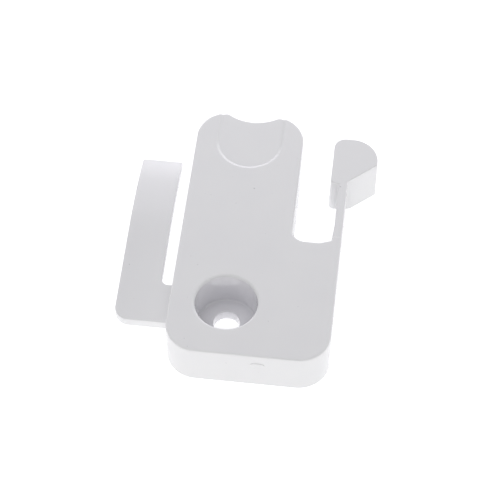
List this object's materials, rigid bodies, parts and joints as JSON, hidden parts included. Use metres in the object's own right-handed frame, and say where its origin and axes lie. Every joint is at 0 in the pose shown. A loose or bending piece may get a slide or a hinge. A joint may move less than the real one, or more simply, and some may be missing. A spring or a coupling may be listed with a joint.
{
  "type": "stair gate latch",
  "caption": "White one-piece moulded stair gate latch: counterbored screw block, notched tongue with thumb recess, spring catch finger with nib, and curved leaf spring.",
  "frame": {"origin": "on the screw hole's axis, in the mounting plane (back face)", "axes": "+Z out of the top face along the screw axis, +Y along the tongue to its notched end, +X towards the spring catch"},
  "size_m": [0.0508, 0.0615, 0.0102],
  "materials": {
    "housing_plastic": "semi-gloss moulded white",
    "thumb_pad_plastic": "semi-gloss moulded white",
    "boss_plastic": "semi-gloss moulded white",
    "rib_plastic": "moulded white, tool finish",
    "leaf_plastic": "semi-gloss moulded white",
    "catch_plastic": "semi-gloss moulded white"
  },
  "bodies": {
    "latch_body": {"body_shell": "housing_plastic", "thumb_pad": "thumb_pad_plastic", "screw_boss": "boss_plastic", "spine_rib": "rib_plastic", "cross_rib_near": "rib_plastic", "cross_rib_far": "rib_plastic", "wing_rib": "rib_plastic", "leaf_tab": "leaf_plastic"},
    "catch_arm": {"catch_finger": "catch_plastic", "catch_nib": "catch_plastic"},
    "leaf_spring": {"leaf_blade": "leaf_plastic"}
  },
  "joints": [
    {"name": "catch_flex", "type": "hinge", "parent": "latch_body", "child": "catch_arm", "pos_m": [0.0208, 0.0195, 0.0051], "axis": [0, 0, 1], "range_deg": [0, 16.5], "stiffness_Nm_per_rad": 1.4},
    {"name": "leaf_flex", "type": "hinge", "parent": "latch_body", "child": "leaf_spring", "pos_m": [-0.01885, 0.0095, 0.00247], "axis": [1, 0, 0], "range_deg": [0, 8], "stiffness_Nm_per_rad": 0.6}
  ]
}
